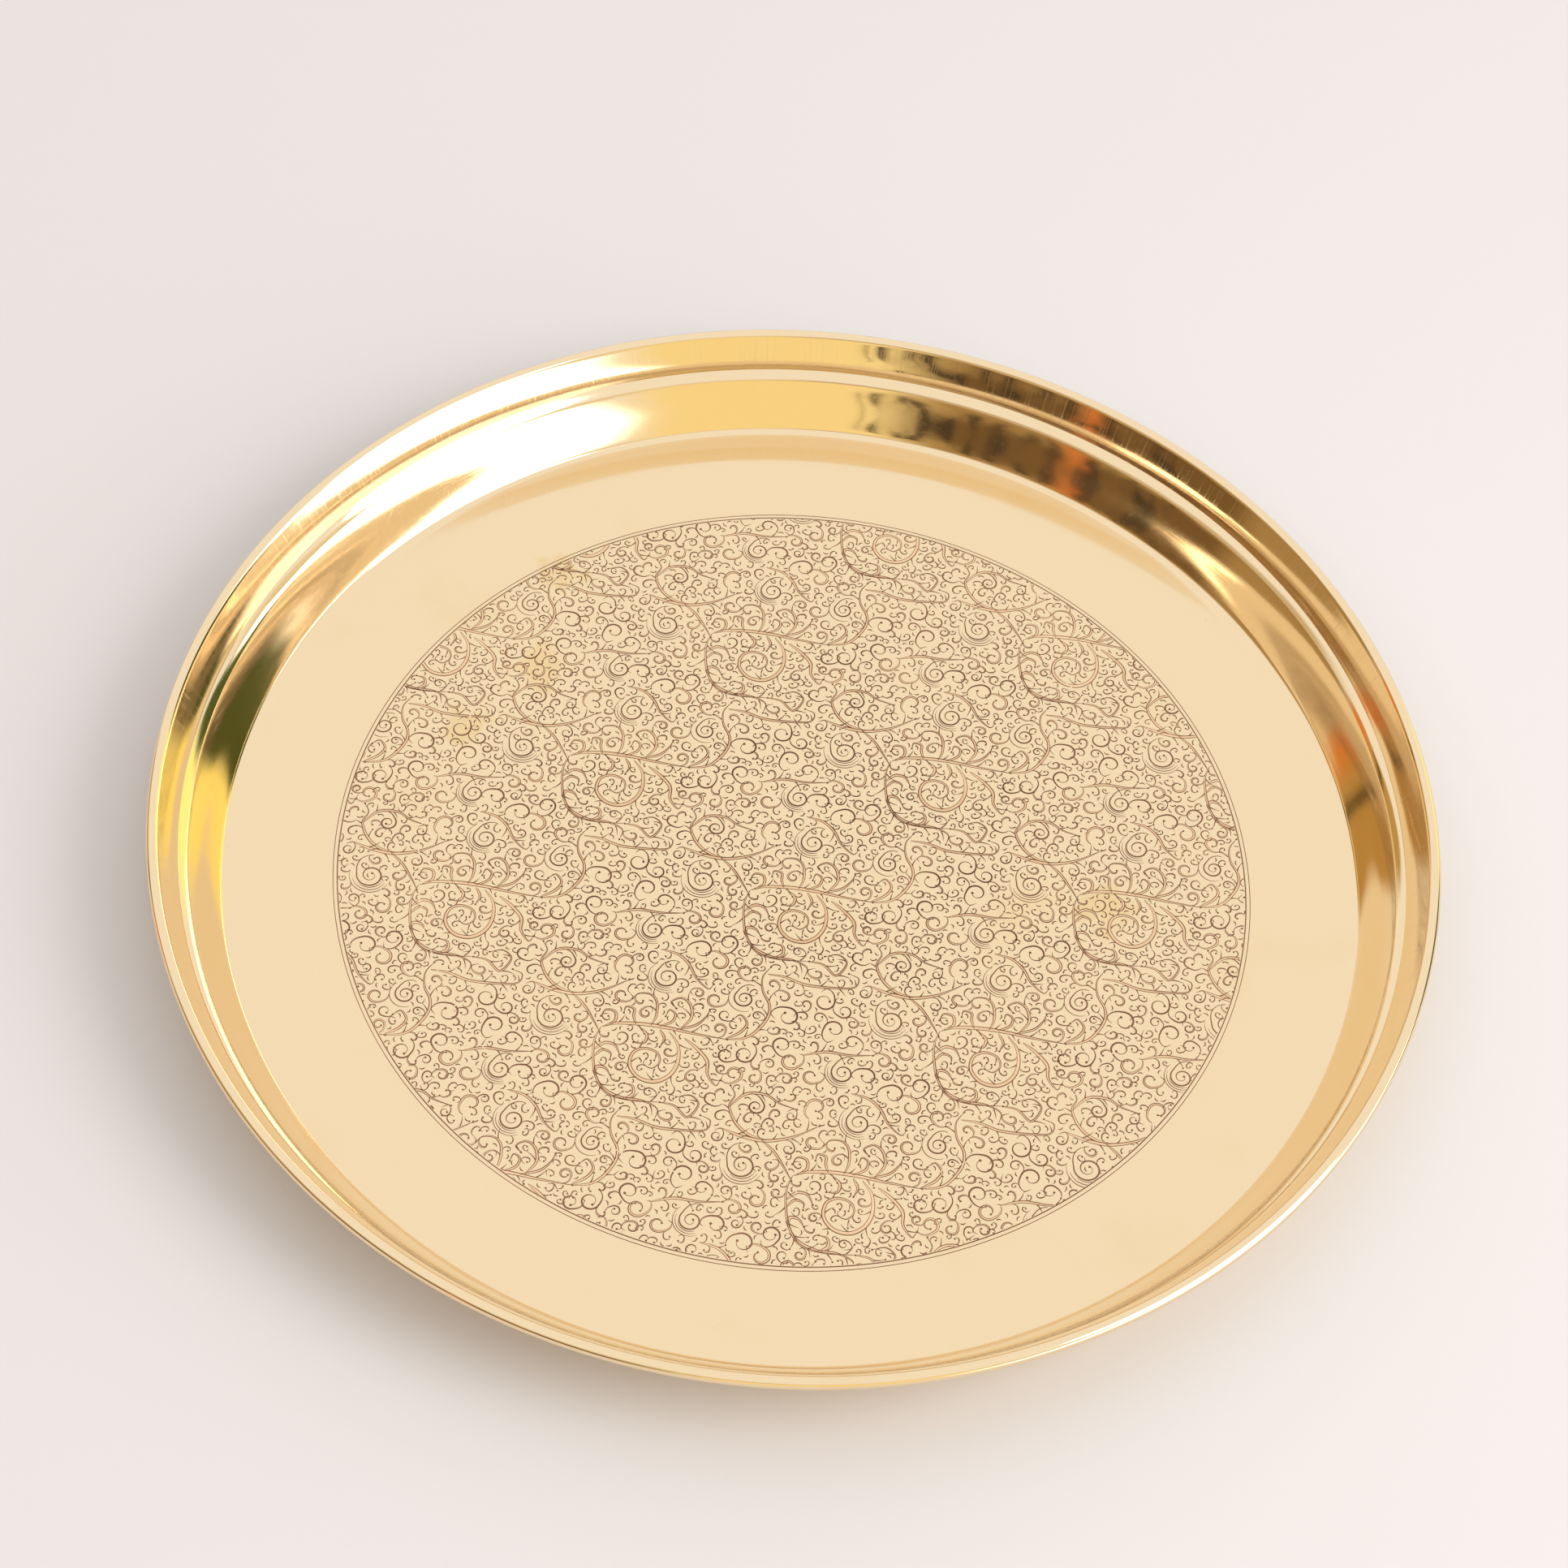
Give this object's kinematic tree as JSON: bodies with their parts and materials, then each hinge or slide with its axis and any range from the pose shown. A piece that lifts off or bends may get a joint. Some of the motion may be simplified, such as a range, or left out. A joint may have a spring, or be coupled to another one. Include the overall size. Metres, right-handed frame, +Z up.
{
  "type": "serving tray",
  "caption": "Round polished brass serving tray with a flaring stepped wall, a curled wired rim and a scroll-engraved disc in its floor.",
  "frame": {"origin": "centre of the tray's flat underside, on the surface it stands on", "axes": "+Z up along the tray's axis; +Y towards the back of the tray, where the engraved scrolls stand upright; +X to the right"},
  "size_m": [0.305, 0.305, 0.0232],
  "materials": {
    "polished_brass": "mirror polished, with fine buffing marks",
    "wire_steel": "drawn wire",
    "engraving_wax": "matte brown wax"
  },
  "bodies": {
    "root": {"tray_pan": "polished_brass", "rim_wire": "wire_steel", "border_fill_outer": "engraving_wax", "border_fill_inner": "engraving_wax"}
  },
  "joints": []
}
